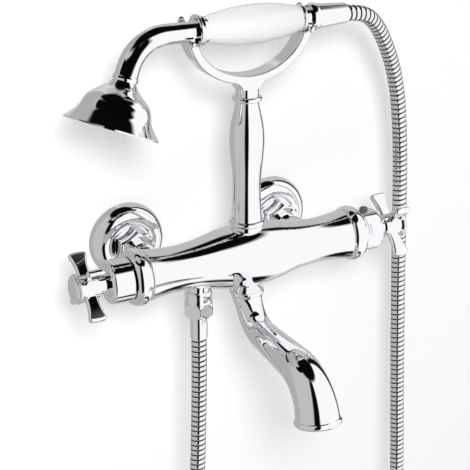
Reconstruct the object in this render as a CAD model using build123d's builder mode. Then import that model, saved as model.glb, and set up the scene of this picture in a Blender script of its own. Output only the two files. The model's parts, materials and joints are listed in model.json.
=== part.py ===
"""Wall mounted bath mixer with swivel spout, cradle and hand shower, as separate parts in millimetres."""
import os
from math import cos, radians, sin, sqrt, tan

from build123d import *

# X runs along the wall to the right, Y into the wall, Z up. The wall face is Y = 0.

# Fits
slip = 0.05
clear = 0.3

# Wall connections
inlet_spacing = 150.0
wall_thread_r = 10.48
wall_thread_length = 14.0
water_bore_r = 7.5
union_bore_r = 7.0
union_shoulder_r = 12.4
union_shoulder_length = 8.0
union_thread_r = 13.22
union_reach = 22.0
union_washer_thickness = 2.0
union_nut_flats = 30.0
union_nut_length = 21.0
union_nut_lip = 5.0
flange_r = 35.5
flange_rim_depth = 1.5
flange_depth = 15.6
flange_crest_r = 22.6
flange_dish_r = 18.6
flange_dish_depth = 12.0
flange_wall = 1.6
check_valve_length = 12.0

# Body
body_from_wall = 95.0
body_rise = 6.0
belly_r = 28.5
waist_r = 19.8
waist_from_centre = 70.0
body_half = 99.5
spigot_r = 20.0
spigot_length = 11.5
cartridge_bore_r = 15.0
mixing_bore_r = 12.0
horn_root_r = 16.5
horn_slim_r = 12.9
horn_tail_r = 10.8
body_edge_round = 0.9
boss_inset = 1.5
bead_ring_length = 13.8
bead_ring_r = 25.1
bead_ring_edge_r = 22.3
bead_ring_lip = 2.3

# Cross handles
sleeve_length = 20.0
sleeve_r = 19.0
sleeve_shoulder = 4.0
sleeve_wall = 2.0
sleeve_end = 2.5
sleeve_gap = 0.6
spindle_r = 4.9
spindle_end_r = 4.0
spindle_end_length = 18.5
handle_neck_r = 8.6
handle_neck_length = 8.0
hub_r = 10.5
hub_length = 17.0
hub_well_r = 8.5
hub_well_depth = 6.0
arm_reach = 32.0
arm_root_width = 15.2
arm_waist_width = 11.3
arm_end_width = 17.8
arm_waist_at = 17.0
arm_thickness = 5.8
arm_round = 2.3
arm_corner = 2.6
arm_crown = 1.2
cap_r = 13.2
cap_step_r = 12.0
cap_face_r = 10.6
cap_bead = 2.5
cap_step = 1.7
cap_height = 5.3
cap_edge_drop = 0.8
cap_spigot = 2.7
cap_spigot_wall = 1.5
handle_screw_r = 2.0
handle_screw_head_r = 4.6
handle_screw_head = 3.0
handle_screw_bevel = 0.9
handle_screw_length = 14.0

# Flow cartridge
flow_cartridge_length = 41.0
cartridge_neck_r = 9.0
cartridge_neck_length = 11.0
disc_r = 11.8
disc_thickness = 3.0
disc_port_r = 3.0
disc_port_at = 6.0
spindle_flange_r = 11.5
spindle_flange_thickness = 3.0
o_ring_r = 1.0
o_ring_insets = (6.0, 16.0)

# Thermostat
thermostat_length = 79.0
thermostat_wall = 2.5
thermostat_chamber_length = 49.5
thermostat_chamber_r = 12.0
return_spring_room = 9.5
spool_length = 20.0
spool_bore_r = 8.0
wax_r = 6.0
wax_before_spool = 5.0
wax_length = 28.0
wax_flange_thickness = 2.5
wax_pin_r = 1.8
wax_pin_length = 5.0
return_spring_r = 9.6
return_spring_wire = 0.6
return_spring_turns = 4
thermostat_port_r = 2.4
thermostat_port_gap = 3.0
temperature_spindle_r = 7.0
temperature_nose_gap = 1.0
stop_ring_inset = 3.1
stop_ring_length = 11.0
stop_ring_r = 10.4

# Safety button
button_from_sleeve_start = 7.5
button_r = 3.8
button_stands = 4.0
button_flange_r = 4.9
button_flange_thickness = 1.3
button_stem_r = 1.6
button_stem_length = 2.2
button_spring_r = 2.6
button_spring_wire = 0.3
button_spring_turns = 4

# Spout
spout_neck_r = 9.6
spout_neck_flare = 4.4
spout_neck_bottom = -26.6
spout_journal_r = 7.4
spout_journal_wall = 1.9
spout_groove_depth = 1.0
spout_lip_r = 15.6
spout_lip_height = 6.0
spout_lip_drop = 1.6
spout_flare_r = 14.2
spout_flare_length = 15.0
spout_growth = 1.5
spout_start_forward = 2.8
spout_lean = 11.3
spout_first_bend = 33.9
spout_first_turn = 76.4
spout_run = 51.7
spout_second_bend = 41.3
spout_second_turn = 76.1
spout_first_r = 12.0
spout_last_r = 19.0
spout_wall = 2.4
spout_sections = 14
spout_screw_r = 2.0
aerator_ring_r = 20.5
aerator_ring_height = 5.6
aerator_ring_drop = 1.5
aerator_ring_bore_r = 14.5
aerator_insert_height = 8.0
aerator_insert_drop = 1.8
aerator_washer_thickness = 1.5
aerator_hole_r = 1.0
aerator_hole_rings = 3
aerator_hole_gap = 3.6
aerator_washer_width = 3.0

# Shower outlet and lower hose end
outlet_x = -47.5
outlet_boss_r = 10.0
outlet_boss_bottom = -17.7
outlet_thread_r = 8.0
outlet_thread_up = 9.5
outlet_bore_r = 5.0
outlet_collar_r = 12.25
outlet_collar_height = 11.3
outlet_collar_round = 3.2
hose_thread_r = 10.48
hose_thread_length = 6.0
hose_washer_thickness = 2.0
hose_nut_flats = 24.0
hose_nut_lip = 3.2
ferrule_flange_r = 10.1
ferrule_flange_thickness = 2.0
lower_ferrule_r = 7.65
lower_ferrule_length = 25.2
barb_r = 4.3
barb_length = 8.0
barb_bore_r = 3.4

# Hose
hose_r = 7.0
hose_groove_depth = 0.9
hose_bore_r = 4.5
hose_ribs = 190
hose_end_straight = 25.0
hose_bend_share = 0.45

# Cradle
column_seat = 35.0
column_base_r = 15.7
column_base_height = 4.8
column_base_drop = 2.0
column_foot_r = 13.6
column_low_r = 12.4
column_low_at = 22.0
column_belly_r = 14.9
column_belly_at = 70.0
column_top_r = 9.5
column_height = 111.0
column_bead_r = 12.8
column_bead_height = 5.0
column_bead_drop = 2.3
stud_r = 5.0
stud_into_body = 10.0
stud_into_column = 14.0
stud_into_fork = 10.0
fork_neck_r = 10.0
fork_neck_length = 11.4
fork_outer_half = 58.6
fork_outer_depth = 48.6
fork_side_wall = 8.6
fork_bow_wall = 7.6
fork_inner_half = fork_outer_half - fork_side_wall
fork_inner_depth = fork_outer_depth - fork_bow_wall
fork_depth = 18.0
fork_fillet = 7.0
fork_edge = 2.4
yoke_inset = 3.3
yoke_from_centre = fork_outer_half - yoke_inset
yoke_thickness = 5.4
yoke_wall = 4.6
yoke_tip_r = 2.8
yoke_tilt = 38.0

# Hand shower
front_yoke_to_grip = 15.8
rear_yoke_to_grip = 7.0
grip_start = front_yoke_to_grip - yoke_from_centre
grip_end = yoke_from_centre - rear_yoke_to_grip
grip_end_r = 10.7
grip_belly_r = 16.6
grip_tube_r = 6.0
grip_tube_wall = 1.5
front_collar_r = 12.4
front_collar_length = 6.0
front_collar_step = 0.8
front_collar_crest_at = 2.4
front_collar_lip = 0.5
collar_drop = 1.1
front_flange_r = 13.7
front_flange_thickness = 2.9
rear_collar_r = 12.0
rear_collar_length = 3.9
neck_r = 8.3
neck_end_r = 9.7
neck_run = 25.9
neck_bend = 37.8
neck_turn = 67.0
neck_last_run = 5.5
neck_roll = 9.0
neck_wall = 1.8
neck_sections = 12
neck_ring_r = 10.5
neck_ring_length = 5.0
neck_ring_drop = 0.8
bell_nose_r = 7.6
bell_wall = 1.9
bell_rim_r = 39.3
bell_rim_at = 43.2
bell_throat_r = 15.5
bell_throat_at = 12.0
bell_dome_inset = 12.5
bell_dome_r = bell_rim_r - bell_dome_inset
bell_dome_at = 22.8
bell_waist_inset = 9.6
bell_waist_r = bell_rim_r - bell_waist_inset
bell_waist_at = 31.2
bell_flare_inset = 4.7
bell_flare_r = bell_rim_r - bell_flare_inset
bell_flare_at = 38.2
bell_rim_edge = 1.4
spray_plate_thickness = 1.8
spray_plate_seat = 1.6
spray_plate_recess = 0.6
spray_gasket_thickness = 0.8
spray_hole_r = 0.9
spray_ring_gap = 8.4
spray_rings = 3

# Upper hose end
hose_end_neck_length = 6.3
hose_end_thread_r = 8.1
hose_end_thread_length = 11.0
cone_bead_r = 11.8
cone_bead_length = 7.5
cone_start_r = 10.7
cone_end_r = 8.7
cone_length = 28.0
upper_ferrule_r = 6.9
hose_in_nut = 10.0


# Places that follow from the sizes
half_spacing = inlet_spacing / 2
horn_tail_start = union_reach + union_washer_thickness
union_nut_start = flange_dish_depth + slip
union_nut_end = union_nut_start + union_nut_length
horn_collar_end = union_nut_end - union_nut_lip - 2 * slip
flank_bend = (waist_from_centre**2 + (belly_r - waist_r)**2) / (4 * (belly_r - waist_r))
body_end_r = waist_r + flank_bend - sqrt(flank_bend**2 - (body_half - waist_from_centre)**2)
spigot_end = body_half + spigot_length
flow_cartridge_start = spigot_end - flow_cartridge_length
thermostat_start = spigot_end - thermostat_length
thermostat_chamber_start = thermostat_start + thermostat_wall
thermostat_chamber_end = thermostat_chamber_start + thermostat_chamber_length
spool_start = thermostat_chamber_start + return_spring_room
wax_start = spool_start - wax_before_spool
wax_pin_end = wax_start + wax_length + wax_pin_length
temperature_nose_start = wax_pin_end + temperature_nose_gap
bead_ring_end = body_half + bead_ring_length
sleeve_start = bead_ring_end + sleeve_gap
handle_start = sleeve_start + sleeve_length
stop_ring_start = sleeve_start + stop_ring_inset
hub_start = handle_start + handle_neck_length
hub_end = hub_start + hub_length
arm_middle = hub_start + hub_length / 2
well_floor = hub_end - hub_well_depth
spindle_tip = handle_start + spindle_end_length
cap_face = hub_end + cap_height
spout_top = spout_neck_bottom - slip
lip_bottom = spout_top - spout_lip_height
spout_screw_at = spout_top - spout_lip_height / 2
collar_bottom = outlet_boss_bottom - outlet_collar_height
washer_top = collar_bottom - hose_thread_length
flange_top = washer_top - hose_washer_thickness
nut_lip_top = flange_top - ferrule_flange_thickness
lower_nut_bottom = nut_lip_top - hose_nut_lip
hose_foot = nut_lip_top - lower_ferrule_length
column_top = column_seat + column_height
bead_top = column_top + column_bead_height
fork_bottom = bead_top + fork_neck_length
handset_rise = fork_bottom + fork_outer_depth
yoke_r = neck_r + clear
front_flange_start = grip_start - front_collar_length - front_flange_thickness
rear_neck_start = grip_end + rear_collar_length
cone_nut_start = rear_neck_start + hose_end_neck_length
thread_end = cone_nut_start + hose_end_thread_length
upper_flange_start = thread_end + hose_washer_thickness
cone_nut_end = cone_nut_start + cone_bead_length + cone_length
hose_head = cone_nut_end - hose_in_nut
button_x = sleeve_start + button_from_sleeve_start

# Planes: turned parts are drawn along the plane's own x, with the radius along its y
grip_plane = Plane(origin=(0, -body_from_wall, handset_rise), x_dir=(1, 0, 0), z_dir=(0, -1, 0))
spout_plane = Plane(origin=(0, -body_from_wall, 0), x_dir=(0, -1, 0), z_dir=(-1, 0, 0))
roll = radians(neck_roll)
neck_plane = Plane(
    origin=(front_flange_start, -body_from_wall, handset_rise),
    x_dir=(-1, 0, 0),
    z_dir=(0, -cos(roll), sin(roll)),
)
button_plane = Plane(origin=(button_x, -body_from_wall, body_rise), x_dir=(0, 0, 1), z_dir=(0, 1, 0))


def side_plane(side):
    """Along the body's axis, outwards to one side."""
    return Plane(origin=(0, -body_from_wall, body_rise), x_dir=(side, 0, 0), z_dir=(0, -side, 0))


def inlet_plane(side):
    """Along an inlet's axis, away from the wall."""
    return Plane(origin=(side * half_spacing, 0, 0), x_dir=(0, -1, 0), z_dir=(-1, 0, 0))


def upright_plane(x):
    """Along an upright axis under or over the body."""
    return Plane(origin=(x, -body_from_wall, 0), x_dir=(0, 0, 1), z_dir=(0, 1, 0))


def turn(plane, *outline, mode=Mode.ADD):
    """Turn a straight sided outline about the plane's x axis."""
    with BuildSketch(plane) as profile:
        with BuildLine():
            Polyline(*outline, close=True)
        make_face()
    revolve(profile.sketch, axis=Axis(plane.origin, plane.x_dir), mode=mode)


def ring(plane, start, end, outer, inner, mode=Mode.ADD):
    """A round length of tube, or of rod where the inner radius is nought."""
    turn(plane, (start, inner), (start, outer), (end, outer), (end, inner), mode=mode)


def barrel(plane, start, end, edge_r, middle_r):
    """A solid ring of bulged outline."""
    with BuildSketch(plane) as profile:
        with BuildLine():
            ThreePointArc((start, edge_r), ((start + end) / 2, middle_r), (end, edge_r))
            Polyline((end, edge_r), (end, 0), (start, 0), (start, edge_r))
        make_face()
    revolve(profile.sketch, axis=Axis(plane.origin, plane.x_dir))


def hex_nut(plane, start, end, flats):
    """A hexagon bar along the plane's x axis with its corners chamfered at both ends."""
    across = Plane(origin=plane.from_local_coords((start, 0, 0)), x_dir=plane.y_dir, z_dir=plane.x_dir)
    with BuildSketch(across) as section:
        RegularPolygon(flats / 2, 6, major_radius=False)
    extrude(section.sketch, amount=end - start)
    corner = flats / sqrt(3)
    face = flats / 2 - flats / 60
    bevel = (corner - face) * tan(radians(30))
    turn(plane, (start, 0), (start, face), (start + bevel, corner), (end - bevel, corner), (end, face),
         (end, 0), mode=Mode.INTERSECT)


def tube(plane, line, sections, first_r, last_r, growth, mode=Mode.ADD):
    """A round tube along a line drawn flat on a plane, its radius growing from end to end."""
    circles = []
    for step in range(sections + 1):
        share = step / sections
        here = plane.from_local_coords(line @ share)
        ahead = plane.from_local_coords((line @ share) + (line % share)) - here
        with BuildSketch(Plane(origin=here, x_dir=plane.z_dir, z_dir=ahead)) as circle:
            Circle(first_r + (last_r - first_r) * share**growth)
        circles.append(circle.sketch)
    loft(circles, mode=mode)


def coil(plane, start, end, mean_r, wire_r, turns):
    """A spring along the plane's x axis, as one swept wire."""
    with BuildLine():
        wire = Helix(pitch=(end - start) / turns, height=end - start, radius=mean_r,
                     center=plane.from_local_coords((start, 0, 0)), direction=plane.x_dir)
    with BuildSketch(Plane(origin=wire @ 0, z_dir=wire % 0)) as section:
        Circle(wire_r)
    sweep(section.sketch, path=wire)


def save(builder, name):
    """Name a finished part and write its file."""
    builder.part.label = name
    export_step(builder.part, f"parts/{name}.step")


os.makedirs("parts", exist_ok=True)

# Wall flanges: thin domed shells, rolled in at the front to a dish that takes the union nut
for side, hand in ((-1, "left"), (1, "right")):
    with BuildPart() as wall_flange:
        for rim_r, crest, dish_r, dish, mode in (
            (flange_r, flange_depth, flange_dish_r, flange_dish_depth, Mode.ADD),
            (flange_r - flange_wall, flange_depth - flange_wall, flange_dish_r + flange_wall,
             flange_dish_depth - flange_wall, Mode.SUBTRACT),
        ):
            with BuildSketch(inlet_plane(side)) as dome:
                with BuildLine():
                    Polyline((dish, dish_r), (dish, 0), (0, 0), (0, rim_r), (flange_rim_depth, rim_r))
                    EllipticalCenterArc((flange_rim_depth, flange_crest_r), crest - flange_rim_depth,
                                        rim_r - flange_crest_r, 0, arc_size=90)
                    EllipticalCenterArc((dish, flange_crest_r), crest - dish, flange_crest_r - dish_r, -90,
                                        arc_size=90)
                make_face()
            revolve(axis=Axis(inlet_plane(side).origin, (0, 1, 0)), mode=mode)
        ring(inlet_plane(side), 0, flange_depth, union_thread_r + slip, 0, mode=Mode.SUBTRACT)
    save(wall_flange, f"wall_flange_{hand}")

    with BuildPart() as wall_union:
        turn(inlet_plane(side), (-wall_thread_length, union_bore_r), (-wall_thread_length, wall_thread_r),
             (0, wall_thread_r), (0, union_shoulder_r), (union_shoulder_length, union_shoulder_r),
             (union_shoulder_length, union_thread_r), (union_reach, union_thread_r), (union_reach, union_bore_r))
    save(wall_union, f"wall_union_{hand}")

    with BuildPart() as union_nut:
        hex_nut(inlet_plane(side), union_nut_start, union_nut_end, union_nut_flats)
        ring(inlet_plane(side), union_nut_start, union_nut_end - union_nut_lip, union_thread_r + slip, 0,
             mode=Mode.SUBTRACT)
        ring(inlet_plane(side), union_nut_start, union_nut_end, horn_tail_r + slip, 0, mode=Mode.SUBTRACT)
    save(union_nut, f"union_nut_{hand}")

with BuildPart() as union_washers:
    for side in (-1, 1):
        ring(inlet_plane(side), union_reach, horn_tail_start, union_thread_r - clear, water_bore_r)
save(union_washers, "union_washers")

with BuildPart() as check_valves:
    for side in (-1, 1):
        ring(inlet_plane(side), horn_tail_start, horn_tail_start + check_valve_length, water_bore_r - slip,
             water_bore_r / 2)
        ring(inlet_plane(side), horn_tail_start + check_valve_length / 3, horn_tail_start + check_valve_length / 2,
             water_bore_r / 2, 0)
save(check_valves, "check_valves")

# Body casting: a turned belly between two waists, trumpet horns to the wall, bosses above and below
with BuildPart() as body_casting:
    flank = (waist_from_centre / 2, (belly_r + waist_r) / 2)
    with BuildSketch(side_plane(1)) as half_outline:
        with BuildLine():
            Polyline((-spigot_end, 0), (-spigot_end, spigot_r), (-body_half, spigot_r), (-body_half, body_end_r))
            ThreePointArc((-body_half, body_end_r), (-waist_from_centre, waist_r), (-flank[0], flank[1]))
            ThreePointArc((-flank[0], flank[1]), (0, belly_r), flank)
            ThreePointArc(flank, (waist_from_centre, waist_r), (body_half, body_end_r))
            Polyline((body_half, body_end_r), (body_half, spigot_r), (spigot_end, spigot_r), (spigot_end, 0),
                     (-spigot_end, 0))
        make_face()
        fillet(half_outline.vertices().filter_by(lambda corner: abs(corner.Y - body_end_r) < slip), body_edge_round)
    revolve(axis=Axis(side_plane(1).origin, (1, 0, 0)))
    ring(upright_plane(0), body_rise, column_seat, column_base_r - boss_inset, 0)
    ring(upright_plane(0), spout_neck_bottom, body_rise, spout_neck_r, 0)
    ring(upright_plane(outlet_x), outlet_boss_bottom, body_rise, outlet_boss_r, 0)
    for side in (-1, 1):
        with BuildSketch(inlet_plane(side)) as trumpet:
            with BuildLine():
                ThreePointArc((union_nut_end + clear, horn_tail_r + 2 * slip),
                              ((union_nut_end + body_from_wall) / 2, horn_slim_r),
                              (body_from_wall - spout_neck_r, horn_root_r))
                Polyline((body_from_wall - spout_neck_r, horn_root_r), (body_from_wall - spout_neck_r, 0),
                         (union_nut_end + clear, 0), (union_nut_end + clear, horn_tail_r + 2 * slip))
            make_face()
        revolve(axis=Axis(inlet_plane(side).origin, (0, 1, 0)))
        ring(inlet_plane(side), horn_tail_start, union_nut_end + clear, horn_tail_r, 0)
        ring(inlet_plane(side), horn_tail_start, horn_collar_end, union_thread_r - clear, 0)
    turn(upright_plane(0), (spout_neck_bottom, 0), (spout_neck_bottom, spout_neck_r + spout_neck_flare),
         (spout_neck_bottom + spout_neck_flare, spout_neck_r), (spout_neck_bottom + spout_neck_flare, 0))
    for side, start in ((-1, flow_cartridge_start), (1, thermostat_start)):
        ring(side_plane(side), start, spigot_end, cartridge_bore_r, 0, mode=Mode.SUBTRACT)
        ring(inlet_plane(side), horn_tail_start, body_from_wall - cartridge_bore_r / 2, water_bore_r, 0,
             mode=Mode.SUBTRACT)
    ring(side_plane(1), -flow_cartridge_start, thermostat_start, mixing_bore_r, 0, mode=Mode.SUBTRACT)
    ring(upright_plane(0), spout_neck_bottom, body_rise, spout_journal_r + slip, 0, mode=Mode.SUBTRACT)
    ring(upright_plane(outlet_x), outlet_boss_bottom, outlet_boss_bottom + outlet_thread_up,
         outlet_thread_r + slip, 0, mode=Mode.SUBTRACT)
    ring(upright_plane(outlet_x), outlet_boss_bottom, body_rise, outlet_bore_r, 0, mode=Mode.SUBTRACT)
    ring(upright_plane(0), column_seat - stud_into_body, column_seat, stud_r + slip, 0, mode=Mode.SUBTRACT)
save(body_casting, "body_casting")

# Bead rings: barrel shaped nuts on the body's ends that hold the cartridges in
for side, hand in ((-1, "left"), (1, "right")):
    with BuildPart() as bead_ring:
        barrel(side_plane(side), body_half, bead_ring_end, bead_ring_edge_r, bead_ring_r)
        ring(side_plane(side), body_half, bead_ring_end - bead_ring_lip, spigot_r + slip, 0, mode=Mode.SUBTRACT)
        ring(side_plane(side), body_half, bead_ring_end, cartridge_neck_r + clear, 0, mode=Mode.SUBTRACT)
    save(bead_ring, f"bead_ring_{hand}")

# Cross handles: sleeve, handle, screw and cap on each side
for side, duty in ((-1, "flow"), (1, "temperature")):
    with BuildPart() as sleeve:
        with BuildSketch(side_plane(side)) as outside:
            with BuildLine():
                Polyline((sleeve_start, 0), (sleeve_start, sleeve_r), (handle_start - sleeve_shoulder, sleeve_r))
                RadiusArc((handle_start - sleeve_shoulder, sleeve_r), (handle_start, sleeve_r - sleeve_shoulder),
                          sleeve_shoulder)
                Polyline((handle_start, sleeve_r - sleeve_shoulder), (handle_start, 0), (sleeve_start, 0))
            make_face()
        revolve(axis=Axis(side_plane(side).origin, (1, 0, 0)))
        ring(side_plane(side), sleeve_start, handle_start - sleeve_end, sleeve_r - sleeve_wall, 0,
             mode=Mode.SUBTRACT)
        ring(side_plane(side), sleeve_start, handle_start, spindle_end_r + slip, 0, mode=Mode.SUBTRACT)
        if duty == "temperature":
            ring(button_plane, 0, sleeve_r, button_r + slip, 0, mode=Mode.SUBTRACT)
    save(sleeve, f"{duty}_sleeve")

    with BuildPart() as cross_handle:
        arm_plane = Plane(origin=side_plane(side).from_local_coords((arm_middle, 0, -arm_thickness / 2)),
                          x_dir=(0, 0, 1), z_dir=(0, -side, 0))
        with BuildSketch(arm_plane) as arm:
            with BuildLine():
                Line((0, -arm_root_width / 2), (0, arm_root_width / 2))
                ThreePointArc((0, arm_root_width / 2), (arm_waist_at, arm_waist_width / 2),
                              (arm_reach - arm_crown, arm_end_width / 2))
                ThreePointArc((arm_reach - arm_crown, arm_end_width / 2), (arm_reach, 0),
                              (arm_reach - arm_crown, -arm_end_width / 2))
                ThreePointArc((arm_reach - arm_crown, -arm_end_width / 2), (arm_waist_at, -arm_waist_width / 2),
                              (0, -arm_root_width / 2))
            make_face()
            fillet(arm.vertices().group_by(Axis.X)[-1], arm_corner)
        extrude(amount=arm_thickness)
        fillet(cross_handle.edges(), arm_round)
        one_arm = cross_handle.part
    with BuildPart() as cross_handle:
        for quarter in range(4):
            add(one_arm.rotate(Axis(side_plane(side).origin, (1, 0, 0)), 45 + 90 * quarter))
        ring(side_plane(side), hub_start, hub_end, hub_r, 0)
        ring(side_plane(side), handle_start, hub_start, handle_neck_r, 0)
        ring(side_plane(side), well_floor, hub_end, hub_well_r, 0, mode=Mode.SUBTRACT)
        ring(side_plane(side), handle_start, hub_end, spindle_end_r + slip, 0, mode=Mode.SUBTRACT)
    save(cross_handle, f"{duty}_cross_handle")

    with BuildPart() as handle_screw:
        turn(side_plane(side), (well_floor, 0), (well_floor, handle_screw_head_r),
             (well_floor + handle_screw_head - handle_screw_bevel, handle_screw_head_r),
             (well_floor + handle_screw_head, handle_screw_head_r - handle_screw_bevel),
             (well_floor + handle_screw_head, 0))
        ring(side_plane(side), well_floor - handle_screw_length, well_floor, handle_screw_r, 0)
    save(handle_screw, f"{duty}_handle_screw")

    with BuildPart() as handle_cap:
        step_start = hub_end + cap_bead
        face_start = step_start + cap_step
        barrel(side_plane(side), hub_end, step_start, cap_r - cap_edge_drop, cap_r)
        barrel(side_plane(side), step_start, face_start, cap_step_r - cap_edge_drop, cap_step_r)
        turn(side_plane(side), (face_start, 0), (face_start, cap_face_r), (cap_face, cap_face_r - cap_edge_drop),
             (cap_face, 0))
        ring(side_plane(side), hub_end - cap_spigot, hub_end, hub_well_r - slip, hub_well_r - cap_spigot_wall)
    save(handle_cap, f"{duty}_handle_cap")

# Flow cartridge: housing, two ceramic discs with half moon ports and the spindle that turns one of them
disc_bore_r = disc_r + 2 * slip
o_ring_places = [spigot_end - inset for inset in o_ring_insets]
fixed_disc_start = flow_cartridge_start + clear
turning_disc_start = fixed_disc_start + disc_thickness + slip
flow_flange_start = turning_disc_start + disc_thickness + slip
flow_flange_end = flow_flange_start + spindle_flange_thickness
with BuildPart() as flow_cartridge_housing:
    ring(side_plane(-1), flow_cartridge_start, spigot_end, cartridge_bore_r - slip, 0)
    ring(side_plane(-1), spigot_end, spigot_end + cartridge_neck_length, cartridge_neck_r, 0)
    ring(side_plane(-1), flow_cartridge_start, flow_flange_end + clear, disc_bore_r, 0, mode=Mode.SUBTRACT)
    ring(side_plane(-1), flow_cartridge_start, spigot_end + cartridge_neck_length, spindle_r + slip, 0,
         mode=Mode.SUBTRACT)
    for groove in o_ring_places:
        ring(side_plane(-1), groove - o_ring_r, groove + o_ring_r, cartridge_bore_r, cartridge_bore_r - 2 * o_ring_r,
             mode=Mode.SUBTRACT)
save(flow_cartridge_housing, "flow_cartridge_housing")

for start, outer, name in ((fixed_disc_start, disc_bore_r - slip, "ceramic_disc_fixed"),
                           (turning_disc_start, disc_r, "ceramic_disc_turning")):
    with BuildPart() as ceramic_disc:
        ring(side_plane(-1), start, start + disc_thickness, outer, 0)
        across = Plane(origin=(-start, -body_from_wall, body_rise), x_dir=(0, 1, 0), z_dir=(-1, 0, 0))
        with BuildSketch(across):
            with PolarLocations(disc_port_at, 2):
                Circle(disc_port_r)
        extrude(amount=disc_thickness, mode=Mode.SUBTRACT)
    save(ceramic_disc, name)

with BuildPart() as flow_spindle:
    ring(side_plane(-1), flow_flange_start, flow_flange_end, spindle_flange_r, 0)
    ring(side_plane(-1), flow_flange_end, handle_start - sleeve_end, spindle_r, 0)
    ring(side_plane(-1), handle_start - sleeve_end, spindle_tip, spindle_end_r, 0)
    ring(side_plane(-1), well_floor - handle_screw_length - clear, spindle_tip, handle_screw_r + slip, 0,
         mode=Mode.SUBTRACT)
save(flow_spindle, "flow_spindle")

with BuildPart() as cartridge_o_rings:
    for side in (-1, 1):
        for groove in o_ring_places:
            with BuildSketch(side_plane(side)):
                with Locations((groove, cartridge_bore_r - o_ring_r)):
                    Circle(o_ring_r - slip)
            revolve(axis=Axis(side_plane(side).origin, (1, 0, 0)))
save(cartridge_o_rings, "cartridge_o_rings")

# Thermostat: housing with ported chamber, sliding spool on a wax element, return spring and spindle
with BuildPart() as thermostat_housing:
    ring(side_plane(1), thermostat_start, spigot_end, cartridge_bore_r - slip, 0)
    ring(side_plane(1), thermostat_chamber_start, thermostat_chamber_end, thermostat_chamber_r, 0,
         mode=Mode.SUBTRACT)
    ring(side_plane(1), thermostat_start, spigot_end, temperature_spindle_r + slip, 0, mode=Mode.SUBTRACT)
    for port in (spool_start - thermostat_port_gap, spool_start + spool_length + thermostat_port_gap, half_spacing):
        across = Plane(origin=(port, -body_from_wall, body_rise), x_dir=(0, 1, 0), z_dir=(0, 0, 1))
        with BuildSketch(across):
            Circle(thermostat_port_r)
        extrude(amount=cartridge_bore_r, both=True, mode=Mode.SUBTRACT)
    for groove in o_ring_places:
        ring(side_plane(1), groove - o_ring_r, groove + o_ring_r, cartridge_bore_r, cartridge_bore_r - 2 * o_ring_r,
             mode=Mode.SUBTRACT)
save(thermostat_housing, "thermostat_housing")

wax_flange_start = spool_start + spool_length - wax_flange_thickness
with BuildPart() as thermostat_spool:
    ring(side_plane(1), spool_start, spool_start + spool_length, thermostat_chamber_r - slip, spool_bore_r)
save(thermostat_spool, "thermostat_spool")

with BuildPart() as wax_element:
    ring(side_plane(1), wax_start, wax_start + wax_length, wax_r, 0)
    ring(side_plane(1), wax_flange_start, wax_flange_start + wax_flange_thickness, spool_bore_r - slip, 0)
    ring(side_plane(1), wax_start + wax_length, wax_pin_end, wax_pin_r, 0)
save(wax_element, "wax_element")

with BuildPart() as spool_return_spring:
    coil(side_plane(1), thermostat_chamber_start + return_spring_wire + slip,
         spool_start - return_spring_wire - slip, return_spring_r, return_spring_wire, return_spring_turns)
save(spool_return_spring, "spool_return_spring")

with BuildPart() as temperature_spindle:
    ring(side_plane(1), temperature_nose_start, spigot_end, temperature_spindle_r, 0)
    ring(side_plane(1), spigot_end, handle_start - sleeve_end, spindle_r, 0)
    ring(side_plane(1), handle_start - sleeve_end, spindle_tip, spindle_end_r, 0)
    ring(side_plane(1), well_floor - handle_screw_length - clear, spindle_tip, handle_screw_r + slip, 0,
         mode=Mode.SUBTRACT)
save(temperature_spindle, "temperature_spindle")

with BuildPart() as temperature_stop_ring:
    ring(side_plane(1), stop_ring_start, stop_ring_start + stop_ring_length, stop_ring_r, spindle_r + slip)
save(temperature_stop_ring, "temperature_stop_ring")

# Safety button in the temperature sleeve, on its own spring
button_shoulder = sqrt((sleeve_r - sleeve_wall)**2 - button_flange_r**2) - clear
button_top = sleeve_r + button_stands
with BuildPart() as safety_button:
    with BuildSketch(button_plane) as dome:
        with BuildLine():
            Line((button_shoulder, 0), (button_shoulder, button_r))
            Line((button_shoulder, button_r), (button_top - button_r / 2, button_r))
            EllipticalCenterArc((button_top - button_r / 2, 0), button_r / 2, button_r, 0, arc_size=90)
            Line((button_top, 0), (button_shoulder, 0))
        make_face()
    revolve(axis=Axis(button_plane.origin, (0, 0, 1)))
    button_floor = button_shoulder - button_flange_thickness
    ring(button_plane, button_floor, button_shoulder, button_flange_r, 0)
    ring(button_plane, button_floor - button_stem_length, button_floor, button_stem_r, 0)
save(safety_button, "safety_button")

with BuildPart() as safety_button_spring:
    coil(button_plane, stop_ring_r + button_spring_wire + slip, button_floor - button_spring_wire - slip,
         button_spring_r, button_spring_wire, button_spring_turns)
save(safety_button_spring, "safety_button_spring")

# Spout: swivel nipple, lip and swelling tube in one casting, grub screw, seal and aerator
with BuildPart() as spout_nipple:
    ring(upright_plane(0), lip_bottom, body_rise - mixing_bore_r, spout_journal_r,
         spout_journal_r - spout_journal_wall)
    ring(upright_plane(0), spout_screw_at - spout_screw_r - slip, spout_screw_at + spout_screw_r + slip,
         spout_journal_r, spout_journal_r - spout_groove_depth, mode=Mode.SUBTRACT)
save(spout_nipple, "spout_nipple")

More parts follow.
